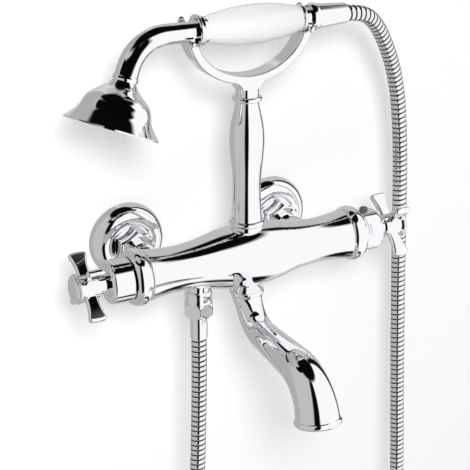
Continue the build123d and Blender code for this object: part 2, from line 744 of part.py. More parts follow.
lean = radians(spout_lean)
with BuildLine() as spout_line:
    first_bend = JernArc((spout_start_forward, lip_bottom), (sin(lean), -cos(lean)), spout_first_bend,
                         spout_first_turn)
    middle_run = Line(first_bend @ 1, first_bend @ 1 + (first_bend % 1) * spout_run)
    JernArc(middle_run @ 1, middle_run % 1, spout_second_bend, -spout_second_turn)
spout_wire = spout_line.wire()
outlet_end = spout_plane.from_local_coords(spout_wire @ 1)
outlet_heading = spout_plane.from_local_coords((spout_wire @ 1) + (spout_wire % 1)) - outlet_end
outlet_plane = Plane(origin=outlet_end, x_dir=outlet_heading, z_dir=(1, 0, 0))
lip_centre = spout_plane.from_local_coords(spout_wire @ 0)
lip_heading = spout_plane.from_local_coords((spout_wire @ 0) + (spout_wire % 0)) - lip_centre
flare_plane = Plane(origin=lip_centre, x_dir=lip_heading, z_dir=(1, 0, 0))
with BuildPart() as spout:
    tube(spout_plane, spout_wire, spout_sections, spout_first_r, spout_last_r, spout_growth)
    barrel(upright_plane(0), lip_bottom, spout_top, spout_lip_r - spout_lip_drop, spout_lip_r)
    with BuildSketch(flare_plane) as flare:
        with BuildLine():
            ThreePointArc((0, spout_flare_r), (spout_flare_length / 3, spout_first_r + slip),
                          (spout_flare_length, spout_first_r - spout_wall / 2))
            Polyline((spout_flare_length, spout_first_r - spout_wall / 2), (spout_flare_length, 0), (0, 0),
                     (0, spout_flare_r))
        make_face()
    revolve(axis=Axis(flare_plane.origin, flare_plane.x_dir))
    tube(spout_plane, spout_wire, spout_sections, spout_first_r - spout_wall, spout_last_r - spout_wall,
         spout_growth, mode=Mode.SUBTRACT)
    ring(upright_plane(0), lip_bottom - clear, spout_top, spout_journal_r + slip, 0, mode=Mode.SUBTRACT)
    back = Plane(origin=(0, -body_from_wall, spout_screw_at), x_dir=(1, 0, 0), z_dir=(0, 1, 0))
    with BuildSketch(back):
        Circle(spout_screw_r + slip)
    extrude(amount=2 * spout_lip_r, mode=Mode.SUBTRACT)
save(spout, "spout")

with BuildPart() as spout_set_screw:
    groove_floor = spout_journal_r - spout_groove_depth + slip
    with BuildSketch(Plane(origin=(0, groove_floor - body_from_wall, spout_screw_at), x_dir=(1, 0, 0),
                           z_dir=(0, 1, 0))):
        Circle(spout_screw_r)
    extrude(amount=spout_lip_r - groove_floor - spout_lip_drop)
save(spout_set_screw, "spout_set_screw")

with BuildPart() as aerator_housing:
    barrel(outlet_plane, 0, aerator_ring_height, aerator_ring_r - aerator_ring_drop, aerator_ring_r)
    ring(outlet_plane, 0, aerator_ring_height, aerator_ring_bore_r, 0, mode=Mode.SUBTRACT)
save(aerator_housing, "aerator_housing")

with BuildPart() as aerator_insert:
    insert_top = aerator_ring_height + aerator_insert_drop - aerator_insert_height
    ring(outlet_plane, insert_top, insert_top + aerator_insert_height, aerator_ring_bore_r - slip, 0)
    foot = Plane(origin=outlet_plane.from_local_coords((insert_top, 0, 0)), x_dir=(1, 0, 0),
                 z_dir=outlet_plane.x_dir)
    with BuildSketch(foot):
        for circle in range(1, aerator_hole_rings + 1):
            with PolarLocations(circle * aerator_hole_gap, 6 * circle):
                Circle(aerator_hole_r)
    extrude(amount=aerator_insert_height, mode=Mode.SUBTRACT)
save(aerator_insert, "aerator_insert")

with BuildPart() as aerator_washer:
    ring(outlet_plane, insert_top - aerator_washer_thickness, insert_top, aerator_ring_bore_r - slip,
         aerator_ring_bore_r - aerator_washer_width)
save(aerator_washer, "aerator_washer")

# Shower outlet under the body, with the hose's lower nut and ferrule
with BuildPart() as shower_outlet_nipple:
    with BuildSketch(upright_plane(outlet_x)) as collar:
        with BuildLine():
            Polyline((outlet_boss_bottom, 0), (outlet_boss_bottom, outlet_collar_r - outlet_collar_round))
            RadiusArc((outlet_boss_bottom, outlet_collar_r - outlet_collar_round),
                      (outlet_boss_bottom - outlet_collar_round, outlet_collar_r), -outlet_collar_round)
            Polyline((outlet_boss_bottom - outlet_collar_round, outlet_collar_r), (collar_bottom, outlet_collar_r),
                     (collar_bottom, 0), (outlet_boss_bottom, 0))
        make_face()
    revolve(axis=Axis(upright_plane(outlet_x).origin, (0, 0, 1)))
    ring(upright_plane(outlet_x), outlet_boss_bottom, outlet_boss_bottom + outlet_thread_up, outlet_thread_r, 0)
    ring(upright_plane(outlet_x), washer_top, collar_bottom, hose_thread_r, 0)
    ring(upright_plane(outlet_x), washer_top, outlet_boss_bottom + outlet_thread_up, outlet_bore_r, 0,
         mode=Mode.SUBTRACT)
save(shower_outlet_nipple, "shower_outlet_nipple")

with BuildPart() as lower_hose_nut:
    hex_nut(upright_plane(outlet_x), lower_nut_bottom, collar_bottom, hose_nut_flats)
    ring(upright_plane(outlet_x), nut_lip_top, collar_bottom, hose_thread_r + slip, 0, mode=Mode.SUBTRACT)
    ring(upright_plane(outlet_x), lower_nut_bottom, collar_bottom, lower_ferrule_r + slip, 0, mode=Mode.SUBTRACT)
save(lower_hose_nut, "lower_hose_nut")

with BuildPart() as lower_hose_washer:
    ring(upright_plane(outlet_x), flange_top, washer_top, ferrule_flange_r, outlet_bore_r)
save(lower_hose_washer, "lower_hose_washer")

with BuildPart() as lower_hose_ferrule:
    ring(upright_plane(outlet_x), nut_lip_top, flange_top, ferrule_flange_r, 0)
    ring(upright_plane(outlet_x), hose_foot, nut_lip_top, lower_ferrule_r, 0)
    ring(upright_plane(outlet_x), hose_foot - barb_length, hose_foot, barb_r, 0)
    ring(upright_plane(outlet_x), hose_foot - barb_length, flange_top, barb_bore_r, 0, mode=Mode.SUBTRACT)
save(lower_hose_ferrule, "lower_hose_ferrule")

# Hose: a ribbed tube on straight runs and tangent arcs, hanging in one loop
hose_route = [
    (outlet_x, -body_from_wall, hose_foot), (outlet_x, -body_from_wall, -105), (-50, -95, -190), (-53, -94, -285),
    (-53, -92, -385), (-37, -90, -478), (10, -87, -545), (75, -84, -568), (140, -81, -543), (177, -79, -475),
    (188, -78, -383), (188, -76, -285), (187, -70, -190), (185.5, -66, -100), (184, -63.5, -15),
    (181.5, -64, 52), (173.5, -69, 108), (164, -74, 141), (151.5, -80, 167.5), (130.6, -88.5, 198.5),
    (hose_head + hose_end_straight, -body_from_wall, handset_rise), (hose_head, -body_from_wall, handset_rise),
]
hose_bends = []
for before, corner, after in zip(hose_route, hose_route[1:], hose_route[2:]):
    into = Vector(*corner) - Vector(*before)
    out = Vector(*after) - Vector(*corner)
    half_turn = radians(into.get_angle(out)) / 2
    hose_bends.append(hose_bend_share * min(into.length, out.length) / tan(half_turn))
print("hose bend radii", [round(bend) for bend in hose_bends])
with BuildLine() as hose_line:
    FilletPolyline(*hose_route, radius=hose_bends)
hose_wire = hose_line.wire()
print("hose length", round(hose_wire.length, 1))
hose_flight = []
for crossing in range(4 * hose_ribs + 1):
    share = crossing / (4 * hose_ribs)
    depth = hose_groove_depth if crossing % 4 in (0, 3) else 0
    hose_flight.append((share, hose_r - depth))
with BuildPart() as shower_hose:
    circles = []
    for share, radius in hose_flight:
        ahead = hose_wire % share
        with BuildSketch(Plane(origin=hose_wire @ share, x_dir=ahead.cross(Vector(0, 1, 0)), z_dir=ahead)) as circle:
            Circle(radius)
        circles.append(circle.sketch)
    loft(circles, ruled=True)
    start = Plane(origin=hose_wire @ 0, x_dir=(1, 0, 0), z_dir=hose_wire % 0)
    with BuildSketch(start) as bore:
        Circle(hose_bore_r)
    sweep(bore.sketch, path=hose_wire, mode=Mode.SUBTRACT)
save(shower_hose, "shower_hose")

# Upper hose end: ferrule, washer and the long cone nut
with BuildPart() as upper_hose_ferrule:
    ring(grip_plane, upper_flange_start, upper_flange_start + ferrule_flange_thickness, hose_end_thread_r - slip, 0)
    ring(grip_plane, upper_flange_start, hose_head, upper_ferrule_r, 0)
    ring(grip_plane, hose_head, hose_head + barb_length, barb_r, 0)
    ring(grip_plane, upper_flange_start, hose_head + barb_length, barb_bore_r, 0, mode=Mode.SUBTRACT)
save(upper_hose_ferrule, "upper_hose_ferrule")

with BuildPart() as upper_hose_washer:
    ring(grip_plane, thread_end, upper_flange_start, hose_end_thread_r - slip, barb_r)
save(upper_hose_washer, "upper_hose_washer")

with BuildPart() as cone_nut:
    barrel(grip_plane, cone_nut_start, cone_nut_start + cone_bead_length, cone_start_r, cone_bead_r)
    turn(grip_plane, (cone_nut_start + cone_bead_length, 0), (cone_nut_start + cone_bead_length, cone_start_r),
         (cone_nut_end, cone_end_r), (cone_nut_end, 0))
    ring(grip_plane, cone_nut_start, upper_flange_start + ferrule_flange_thickness, hose_end_thread_r + slip, 0,
         mode=Mode.SUBTRACT)
    ring(grip_plane, cone_nut_start, hose_head, upper_ferrule_r + slip, 0, mode=Mode.SUBTRACT)
    ring(grip_plane, hose_head, cone_nut_end, hose_r + clear, 0, mode=Mode.SUBTRACT)
save(cone_nut, "cone_nut")

# Cradle: baluster column on a stud, and a fork whose two yokes hold the hand shower
with BuildPart() as cradle_column:
    with BuildSketch(upright_plane(0)) as baluster:
        with BuildLine():
            foot = column_seat + column_base_height
            Polyline((foot, column_foot_r), (foot, 0), (column_top, 0), (column_top, column_top_r))
            Spline((foot, column_foot_r), (column_seat + column_low_at, column_low_r),
                   (column_seat + column_belly_at, column_belly_r), (column_top, column_top_r))
        make_face()
    revolve(axis=Axis(upright_plane(0).origin, (0, 0, 1)))
    barrel(upright_plane(0), column_seat, foot, column_base_r - column_base_drop, column_base_r)
    barrel(upright_plane(0), column_top, bead_top, column_bead_r - column_bead_drop, column_bead_r)
    ring(upright_plane(0), column_seat, column_seat + stud_into_column, stud_r + slip, 0, mode=Mode.SUBTRACT)
    ring(upright_plane(0), bead_top - stud_into_fork, bead_top, stud_r + slip, 0, mode=Mode.SUBTRACT)
save(cradle_column, "cradle_column")

with BuildPart() as cradle_stud:
    ring(upright_plane(0), column_seat - stud_into_body, column_seat + stud_into_column, stud_r, 0)
save(cradle_stud, "cradle_stud")

tilt = radians(yoke_tilt)
lift = Vector(0, -sin(tilt), cos(tilt))
with BuildPart() as cradle_fork:
    fork_plane = Plane(origin=(0, -body_from_wall, handset_rise), x_dir=(1, 0, 0), z_dir=(0, -1, 0))
    with BuildSketch(fork_plane) as crescent:
        Ellipse(fork_outer_half, fork_outer_depth)
        with Locations((0, bead_top - handset_rise)):
            Rectangle(2 * fork_neck_r, fork_outer_depth, align=(Align.CENTER, Align.MIN))
        corners = crescent.vertices().filter_by_position(Axis.Y, -fork_outer_depth, -fork_inner_depth)
        fillet(corners, fork_fillet)
        Ellipse(fork_inner_half, fork_inner_depth, mode=Mode.SUBTRACT)
        with Locations((0, -yoke_r / 2)):
            Rectangle(3 * fork_outer_half, 2 * fork_outer_depth, align=(Align.CENTER, Align.MIN),
                      mode=Mode.SUBTRACT)
    extrude(amount=fork_depth / 2, both=True)
    fillet(cradle_fork.edges().filter_by(GeomType.ELLIPSE), fork_edge)
    neck_flare = fork_depth / 2
    with BuildSketch(upright_plane(0)) as round_neck:
        with BuildLine():
            Line((bead_top, fork_neck_r), (fork_bottom - neck_flare / 2, fork_neck_r))
            RadiusArc((fork_bottom - neck_flare / 2, fork_neck_r),
                      (fork_bottom + neck_flare / 2, fork_neck_r + neck_flare), neck_flare)
            Polyline((fork_bottom + neck_flare / 2, fork_neck_r + neck_flare), (bead_top, 3 * fork_neck_r),
                     (bead_top, fork_neck_r))
        make_face()
    revolve(axis=Axis(upright_plane(0).origin, (0, 0, 1)), mode=Mode.SUBTRACT)
    yoke_start = yoke_from_centre - yoke_thickness / 2
    ring(grip_plane, -yoke_start, yoke_start, front_flange_r + clear, 0, mode=Mode.SUBTRACT)
    for side in (-1, 1):
        across = Plane(origin=(side * yoke_start, -body_from_wall, handset_rise), x_dir=lift, z_dir=(side, 0, 0))
        with BuildSketch(across) as half_ring:
            Circle(yoke_r + yoke_wall)
            with Locations((0, 0)):
                Rectangle(2 * yoke_r + 2 * yoke_wall, 4 * yoke_r, align=(Align.MIN, Align.CENTER),
                          mode=Mode.SUBTRACT)
        extrude(amount=yoke_thickness)
        middle = Plane(origin=(side * yoke_from_centre, -body_from_wall, handset_rise), x_dir=lift,
                       z_dir=(side, 0, 0))
        for end in (-1, 1):
            with Locations(middle.from_local_coords((0, end * (yoke_r + yoke_wall), 0))):
                Sphere(yoke_tip_r)
    ring(grip_plane, -fork_outer_half, fork_outer_half, yoke_r, 0, mode=Mode.SUBTRACT)
    ring(upright_plane(0), bead_top - stud_into_fork + clear, bead_top, stud_r, 0)
save(cradle_fork, "cradle_fork")

# Hand shower: porcelain grip on a brass tube between two collars, curved neck, bell and spray plate
with BuildPart() as porcelain_grip:
    with BuildSketch(grip_plane) as handle:
        with BuildLine():
            middle = (grip_start + grip_end) / 2
            ThreePointArc((grip_start, grip_end_r), (middle, grip_belly_r), (grip_end, grip_end_r))
            Polyline((grip_end, grip_end_r), (grip_end, 0), (grip_start, 0), (grip_start, grip_end_r))
        make_face()
    revolve(axis=Axis(grip_plane.origin, (1, 0, 0)))
    ring(grip_plane, grip_start, grip_end, grip_tube_r + clear, 0, mode=Mode.SUBTRACT)
save(porcelain_grip, "porcelain_grip")

with BuildPart() as grip_tube:
    ring(grip_plane, front_flange_start, rear_neck_start, grip_tube_r, 0)
    ring(grip_plane, rear_neck_start, cone_nut_start, neck_r, 0)
    ring(grip_plane, cone_nut_start, thread_end, hose_end_thread_r, 0)
    ring(grip_plane, front_flange_start, thread_end, grip_tube_r - grip_tube_wall, 0, mode=Mode.SUBTRACT)
save(grip_tube, "grip_tube")

with BuildPart() as front_collar:
    flange_back = front_flange_start + front_flange_thickness
    barrel(grip_plane, front_flange_start, flange_back, front_flange_r - collar_drop, front_flange_r)
    turn(grip_plane, (flange_back, 0), (flange_back, front_collar_r - front_collar_step),
         (flange_back + front_collar_crest_at, front_collar_r), (grip_start, grip_end_r + front_collar_lip),
         (grip_start, 0))
    ring(grip_plane, front_flange_start, grip_start, grip_tube_r + slip, 0, mode=Mode.SUBTRACT)
save(front_collar, "front_collar")

with BuildPart() as rear_collar:
    barrel(grip_plane, grip_end, rear_neck_start, rear_collar_r - collar_drop, rear_collar_r)
    ring(grip_plane, grip_end, rear_neck_start, grip_tube_r + slip, 0, mode=Mode.SUBTRACT)
save(rear_collar, "rear_collar")

with BuildLine() as neck_line:
    neck_first = Line((0, 0), (neck_run, 0))
    neck_curve = JernArc(neck_first @ 1, (1, 0), neck_bend, neck_turn)
    Line(neck_curve @ 1, neck_curve @ 1 + (neck_curve % 1) * neck_last_run)
neck_wire = neck_line.wire()
neck_end = neck_plane.from_local_coords(neck_wire @ 1)
bell_heading = neck_plane.from_local_coords((neck_wire @ 1) + (neck_wire % 1)) - neck_end
bell_plane = Plane(origin=neck_end, x_dir=bell_heading, z_dir=neck_plane.z_dir)
with BuildPart() as handset_neck:
    tube(neck_plane, neck_wire, neck_sections, neck_r, neck_end_r, 1)
    tube(neck_plane, neck_wire, neck_sections, neck_r - neck_wall, neck_end_r - neck_wall, 1, mode=Mode.SUBTRACT)
save(handset_neck, "handset_neck")

with BuildPart() as neck_ring:
    barrel(bell_plane, 0, neck_ring_length, neck_ring_r - neck_ring_drop, neck_ring_r)
    ring(bell_plane, 0, neck_ring_length, bell_nose_r + slip, 0, mode=Mode.SUBTRACT)
save(neck_ring, "neck_ring")

bell_root_r = neck_ring_r - neck_ring_drop
plate_seat_r = bell_rim_r - bell_wall - spray_plate_seat
plate_face = bell_rim_at + bell_rim_edge - spray_plate_recess
plate_back = plate_face - spray_plate_thickness
gasket_back = plate_back - spray_gasket_thickness
with BuildPart() as spray_bell:
    with BuildSketch(bell_plane) as outside:
        with BuildLine():
            Spline((neck_ring_length, bell_root_r), (bell_throat_at, bell_throat_r), (bell_dome_at, bell_dome_r),
                   (bell_waist_at, bell_waist_r), (bell_flare_at, bell_flare_r), (bell_rim_at, bell_rim_r))
            rim = bell_rim_at + bell_rim_edge
            Polyline((bell_rim_at, bell_rim_r), (rim, bell_rim_r), (rim, 0), (neck_ring_length, 0),
                     (neck_ring_length, bell_root_r))
        make_face()
    revolve(axis=Axis(bell_plane.origin, bell_plane.x_dir))
    with BuildSketch(bell_plane) as inside:
        with BuildLine():
            Spline((neck_ring_length + bell_wall, bell_root_r - bell_wall),
                   (bell_throat_at + bell_wall, bell_throat_r - bell_wall),
                   (bell_dome_at + bell_wall / 2, bell_dome_r - bell_wall), (bell_waist_at, bell_waist_r - bell_wall),
                   (gasket_back, plate_seat_r - spray_plate_seat))
            Polyline((gasket_back, plate_seat_r - spray_plate_seat), (gasket_back, 0),
                     (neck_ring_length + bell_wall, 0), (neck_ring_length + bell_wall, bell_root_r - bell_wall))
        make_face()
    revolve(axis=Axis(bell_plane.origin, bell_plane.x_dir), mode=Mode.SUBTRACT)
    ring(bell_plane, gasket_back, rim, plate_seat_r, 0, mode=Mode.SUBTRACT)
    ring(bell_plane, 0, neck_ring_length, bell_nose_r, 0)
    ring(bell_plane, 0, neck_ring_length + bell_wall, bell_nose_r - bell_wall, 0, mode=Mode.SUBTRACT)
save(spray_bell, "spray_bell")

with BuildPart() as spray_gasket:
    ring(bell_plane, gasket_back, plate_back, plate_seat_r - slip, plate_seat_r - spray_plate_seat)
save(spray_gasket, "spray_gasket")

with BuildPart() as spray_plate:
    ring(bell_plane, plate_back, plate_face, plate_seat_r - slip, 0)
    across = Plane(origin=bell_plane.from_local_coords((plate_back, 0, 0)), x_dir=bell_plane.z_dir,
                   z_dir=bell_plane.x_dir)
    with BuildSketch(across):
        Circle(spray_hole_r)
        for circle in range(1, spray_rings + 1):
            with PolarLocations(circle * spray_ring_gap, 6 * circle):
                Circle(spray_hole_r)
    extrude(amount=spray_plate_thickness, mode=Mode.SUBTRACT)
save(spray_plate, "spray_plate")
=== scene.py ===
"""Wall mounted bath mixer with a cradle hand shower: finishes, hose, detail pieces and studio."""

import json
from math import cos, pi, radians, sin, sqrt

import bmesh
import bpy
from bpy.props import FloatProperty, IntProperty, PointerProperty
from mathutils import Matrix, Vector


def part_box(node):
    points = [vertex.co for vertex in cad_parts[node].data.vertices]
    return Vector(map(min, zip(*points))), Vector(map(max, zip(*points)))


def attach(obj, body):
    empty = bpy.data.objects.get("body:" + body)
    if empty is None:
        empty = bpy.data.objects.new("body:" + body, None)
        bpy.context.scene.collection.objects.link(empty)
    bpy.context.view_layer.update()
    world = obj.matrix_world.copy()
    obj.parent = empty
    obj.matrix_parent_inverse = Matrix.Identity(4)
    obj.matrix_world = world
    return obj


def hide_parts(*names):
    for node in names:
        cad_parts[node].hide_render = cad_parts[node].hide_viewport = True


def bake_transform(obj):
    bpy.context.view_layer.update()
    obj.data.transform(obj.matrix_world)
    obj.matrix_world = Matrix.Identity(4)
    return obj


bl_info = {
    "name": "Bath mixer with cradle hand shower",
    "version": (1, 0, 0),
    "blender": (4, 5, 0),
    "location": "View3D > Sidebar > Bath mixer",
    "description": "Dresses the packed bath mixer with chrome, porcelain and a ribbed hose",
    "category": "Object",
}

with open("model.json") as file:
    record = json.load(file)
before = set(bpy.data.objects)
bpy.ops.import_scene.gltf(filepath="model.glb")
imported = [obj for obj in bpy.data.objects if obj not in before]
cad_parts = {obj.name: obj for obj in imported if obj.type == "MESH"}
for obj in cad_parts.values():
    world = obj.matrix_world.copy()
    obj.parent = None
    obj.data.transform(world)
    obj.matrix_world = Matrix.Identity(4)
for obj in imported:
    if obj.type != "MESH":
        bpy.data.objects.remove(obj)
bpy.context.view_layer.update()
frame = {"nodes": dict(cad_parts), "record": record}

MM = 0.001

UP = Vector((0.0, 0.0, 1.0))

# Main places of the mixer, in millimetres: wall at y 0, origin midway between the inlets
BODY_Y = -95.0
BODY_Z = 6.0
BODY = (0.0, BODY_Y, BODY_Z)
BELL = (-132.0, BODY_Y, 160.0)


def linear(hex_colour):
    """An sRGB hex value as linear red, green, blue and alpha."""
    channels = [int(hex_colour[i:i + 2], 16) / 255 for i in (1, 3, 5)]
    return [c / 12.92 if c <= 0.04045 else ((c + 0.055) / 1.055) ** 2.4 for c in channels] + [1.0]


def add_node(tree, kind, settings=None, values=None, links=None):
    """Add a node with its settings, its socket values and what its sockets are linked from."""
    node = tree.nodes.new(kind)
    for name, value in (settings or {}).items():
        setattr(node, name, value)
    for socket, value in (values or {}).items():
        node.inputs[socket].default_value = value
    for socket, source in (links or {}).items():
        tree.links.new(source, node.inputs[socket])
    return node


def new_material(name):
    """An empty node material with its output and a principled shader already joined."""
    material = bpy.data.materials.new(name)
    material.use_nodes = True
    tree = material.node_tree
    tree.nodes.clear()
    output = tree.nodes.new("ShaderNodeOutputMaterial")
    shader = tree.nodes.new("ShaderNodeBsdfPrincipled")
    tree.links.new(shader.outputs["BSDF"], output.inputs["Surface"])
    return material, tree, shader


def polished_metal(name, colour, smooth, worn, ripple):
    """Metal whose polish varies softly from place to place, with a slight ripple in its surface."""
    material, tree, shader = new_material(name)
    shader.inputs["Metallic"].default_value = 1.0
    shader.inputs["Base Color"].default_value = linear(colour)
    place = add_node(tree, "ShaderNodeTexCoord")
    # polish clouds about 12 mm across
    cloud = add_node(tree, "ShaderNodeTexNoise", values={"Scale": 1 / (12 * MM), "Detail": 4.0},
                     links={"Vector": place.outputs["Object"]})
    rough = add_node(tree, "ShaderNodeMapRange", values={"To Min": smooth, "To Max": worn},
                     links={"Value": cloud.outputs["Fac"]})
    tree.links.new(rough.outputs["Result"], shader.inputs["Roughness"])
    # ripple left by buffing, about 9 mm from crest to crest
    wave = add_node(tree, "ShaderNodeTexNoise", values={"Scale": 1 / (9 * MM), "Detail": 1.0},
                    links={"Vector": place.outputs["Object"]})
    bump = add_node(tree, "ShaderNodeBump", values={"Strength": ripple, "Distance": 0.1 * MM},
                    links={"Height": wave.outputs["Fac"]})
    tree.links.new(bump.outputs["Normal"], shader.inputs["Normal"])
    return material


def chrome():
    """Bright chromium plate on polished brass: a near mirror, very slightly cool."""
    return polished_metal("chromium_plate_polished", "#f9f9fb", 0.012, 0.04, 0.02)


def hose_metal():
    """Chromium plated steel strip, rolled and wound: a little darker and softer than the castings."""
    return polished_metal("chromium_plated_strip", "#f1f1f3", 0.04, 0.1, 0.03)


def groove_painted_shade():
    """Painted shade for the hose's grooves: a dark, dull steel colour on the faces deep between two turns of the strip,
    where shade falls.
    """
    return polished_metal("steel_strip_groove_painted_shade", "#35363a", 0.35, 0.5, 0.05)


def brass():
    """Machined brass: yellow, with the fine lines of turning."""
    return polished_metal("brass_machined", "#c9a559", 0.22, 0.34, 0.08)


def steel():
    """Bright drawn stainless steel."""
    return polished_metal("stainless_steel_drawn", "#b9babb", 0.2, 0.3, 0.05)


def copper():
    """Drawn copper of the wax element."""
    return polished_metal("copper_drawn", "#b87350", 0.25, 0.35, 0.05)


def moulded(name, colour, roughness, grain_mm, bump_strength):
    """A moulded or fired surface: even colour, slight cloud in tone, fine grain in its gloss."""
    material, tree, shader = new_material(name)
    place = add_node(tree, "ShaderNodeTexCoord")
    grain = add_node(tree, "ShaderNodeTexNoise", values={"Scale": 1 / (grain_mm * MM), "Detail": 3.0},
                     links={"Vector": place.outputs["Object"]})
    tone = add_node(tree, "ShaderNodeMix", {"data_type": "RGBA"},
                    links={"Factor": grain.outputs["Fac"]})
    base = linear(colour)
    tone.inputs["A"].default_value = [c * 0.97 for c in base[:3]] + [1.0]
    tone.inputs["B"].default_value = base
    tree.links.new(tone.outputs["Result"], shader.inputs["Base Color"])
    rough = add_node(tree, "ShaderNodeMapRange", values={"To Min": roughness * 0.8, "To Max": roughness * 1.2},
                     links={"Value": grain.outputs["Fac"]})
    tree.links.new(rough.outputs["Result"], shader.inputs["Roughness"])
    bump = add_node(tree, "ShaderNodeBump", values={"Strength": bump_strength, "Distance": 0.1 * MM},
                    links={"Height": grain.outputs["Fac"]})
    tree.links.new(bump.outputs["Normal"], shader.inputs["Normal"])
    return material


def porcelain():
    """Glazed porcelain: white body under a clear hard glaze that gives one sharp highlight."""
    material = moulded("porcelain_glazed_white", "#fafaf9", 0.1, 25, 0.02)
    shader = material.node_tree.nodes["Principled BSDF"]
    shader.inputs["Coat Weight"].default_value = 0.6
    shader.inputs["Coat Roughness"].default_value = 0.03
    return material


def rubber():
    """Moulded black rubber of the seals: matt."""
    return moulded("rubber_moulded_black", "#1d1d1e", 0.6, 1.5, 0.2)


def white_plastic():
    """Moulded white engineering plastic of the cartridges: satin."""
    return moulded("plastic_moulded_white", "#dcdcd8", 0.4, 2.0, 0.1)


def ceramic():
    """Lapped alumina of the valve discs: off white and very smooth."""
    return moulded("alumina_lapped", "#e2ddd2", 0.25, 3.0, 0.02)


def dark_plastic():
    """Moulded dark grey plastic of the safety button: satin."""
    return moulded("plastic_moulded_dark_grey", "#5a5b5e", 0.28, 1.5, 0.1)


def index_enamel():
    """Soft enamel wiped into an engraved line: blue grey, satin."""
    return moulded("enamel_filled_blue_grey", "#7d89ab", 0.4, 1.0, 0.05)


FINISHES = {
    "chrome": chrome, "hose_steel": hose_metal, "brass": brass, "steel": steel, "copper": copper,
    "porcelain": porcelain, "rubber": rubber, "white_plastic": white_plastic, "ceramic": ceramic,
    "dark_plastic": dark_plastic,
}
made_finishes = {}


def finish(slot):
    """The material of one of the record's slots, made once."""
    if slot not in made_finishes:
        made_finishes[slot] = FINISHES[slot]()
    return made_finishes[slot]


def to_mesh(name, bm):
    """Turn an edited mesh into a finished one."""
    mesh = bpy.data.meshes.new(name)
    bm.to_mesh(mesh)
    bm.free()
    return mesh


def link_object(name, data):
    """Put a mesh, a camera or a lamp into the scene."""
    thing = bpy.data.objects.new(name, data)
    bpy.context.scene.collection.objects.link(thing)
    return thing


def set_piece(name, mesh, body, slot, nodes=(), smooth_angle=35):
    """Put a mesh into the scene as a piece that rides on a body and stands for CAD nodes."""
    piece = link_object(name, mesh)
    mesh.shade_smooth()
    mesh.set_sharp_from_angle(angle=radians(smooth_angle))
    mesh.materials.clear()
    mesh.materials.append(finish(slot))
    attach(piece, body)
    if nodes:
        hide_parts(*nodes)
    return piece


def circle(centre, heading, radii):
    """Points round a centre given in mm, square to a heading, at an even turn and each at its own radius."""
    side = Vector((1.0, 0.0, 0.0))
    other = heading.cross(side)
    turns = [2 * pi * k / len(radii) for k in range(len(radii))]
    return [(Vector(centre) + (side * cos(turn) + other * sin(turn)) * radius) * MM
            for turn, radius in zip(turns, radii)]


def skin(name, rows):
    """A mesh over rows of points, closed at both ends."""
    bm = bmesh.new()
    rings = [[bm.verts.new(point) for point in row] for row in rows]
    for first, second in zip(rings, rings[1:]):
        for k in range(len(first)):
            bm.faces.new((first[k - 1], first[k], second[k], second[k - 1]))
    bm.faces.new(rings[0])
    bm.faces.new(reversed(rings[-1]))
    bmesh.ops.recalc_face_normals(bm, faces=bm.faces)
    return to_mesh(name, bm)


def flowing(outline, steps):
    """An outline of heights and radii with smooth curves through its points."""
    ends = [outline[0], *outline, outline[-1]]
    smooth = []
    for a, b, c, d in zip(ends, ends[1:], ends[2:], ends[3:]):
        for step in range(steps):
            t = step / steps
            smooth.append([0.5 * (2 * q + (r - p) * t + (2 * p - 5 * q + 4 * r - w) * t ** 2
                                  + (3 * q - p - 3 * r + w) * t ** 3) for p, q, r, w in zip(a, b, c, d)])
    return smooth + [list(outline[-1])]


def upright(name, x, outline, steps_round):
    """A turned piece on an upright axis under or over the body, from heights and radii in mm."""
    return skin(name, [circle((x, BODY_Y, z), UP, [r] * steps_round) for z, r in outline])


# Hose route in millimetres, from the outlet under the body round the loop to the hand shower
HOSE_ROUTE = (
    (-47.5, -95, -64.2), (-47.5, -95, -105), (-50, -95, -190), (-53, -94, -285), (-53, -92, -385),
    (-37, -90, -478), (10, -87, -545), (75, -84, -568), (140, -81, -543), (177, -79, -475), (188, -78, -383),
    (188, -76, -285), (187, -70, -190), (185.5, -66, -100), (184, -63.5, -15), (181.5, -64, 52),
    (173.5, -69, 108), (164, -74, 141), (151.5, -80, 167.5), (130.6, -88.5, 198.5), (109, -95, 211), (84, -95, 211),
)
HOSE_R = 7.0
HOSE_SIDES = 28

# One turn of the strip, a narrow groove and then a slightly crowned band: shares of the pitch and of the groove's depth
HOSE_TURN = ((0.0, 1.0), (0.14, 1.0), (0.19, 0.12), (0.35, 0.02), (0.57, 0.0), (0.8, 0.02), (0.95, 0.12))
# the bands of each turn that lie deep in the groove and are coloured dark as painted shade
HOSE_SHADED_BANDS = (0, 1, len(HOSE_TURN) - 1)


def hose_centre_line():
    """Points along the route's own smooth curve, close together, in metres."""
    curve = bpy.data.curves.new("hose_line", "CURVE")
    curve.dimensions = "3D"
    curve.resolution_u = 24
    spline = curve.splines.new("NURBS")
    spline.points.add(len(HOSE_ROUTE) - 1)
    for point, place in zip(spline.points, HOSE_ROUTE):
        point.co = [c * MM for c in place] + [1.0]
    spline.order_u = 3
    spline.use_endpoint_u = True
    line = bpy.data.objects.new("hose_line", curve)
    mesh = bpy.data.meshes.new_from_object(line)
    points = [vertex.co.copy() for vertex in mesh.vertices]
    bpy.data.meshes.remove(mesh)
    bpy.data.objects.remove(line)
    bpy.data.curves.remove(curve)
    return points


def along(points, step):
    """Places at an even step along a line of points, and the line's length."""
    lengths = [0.0]
    for a, b in zip(points, points[1:]):
        lengths.append(lengths[-1] + (b - a).length)
    total = lengths[-1]
    count = int(total / step)
    places = []
    segment = 0
    for i in range(count + 1):
        here = total * i / count
        while segment < len(points) - 2 and lengths[segment + 1] < here:
            segment += 1
        share = (here - lengths[segment]) / (lengths[segment + 1] - lengths[segment])
        places.append(points[segment].lerp(points[segment + 1], share))
    return places, total


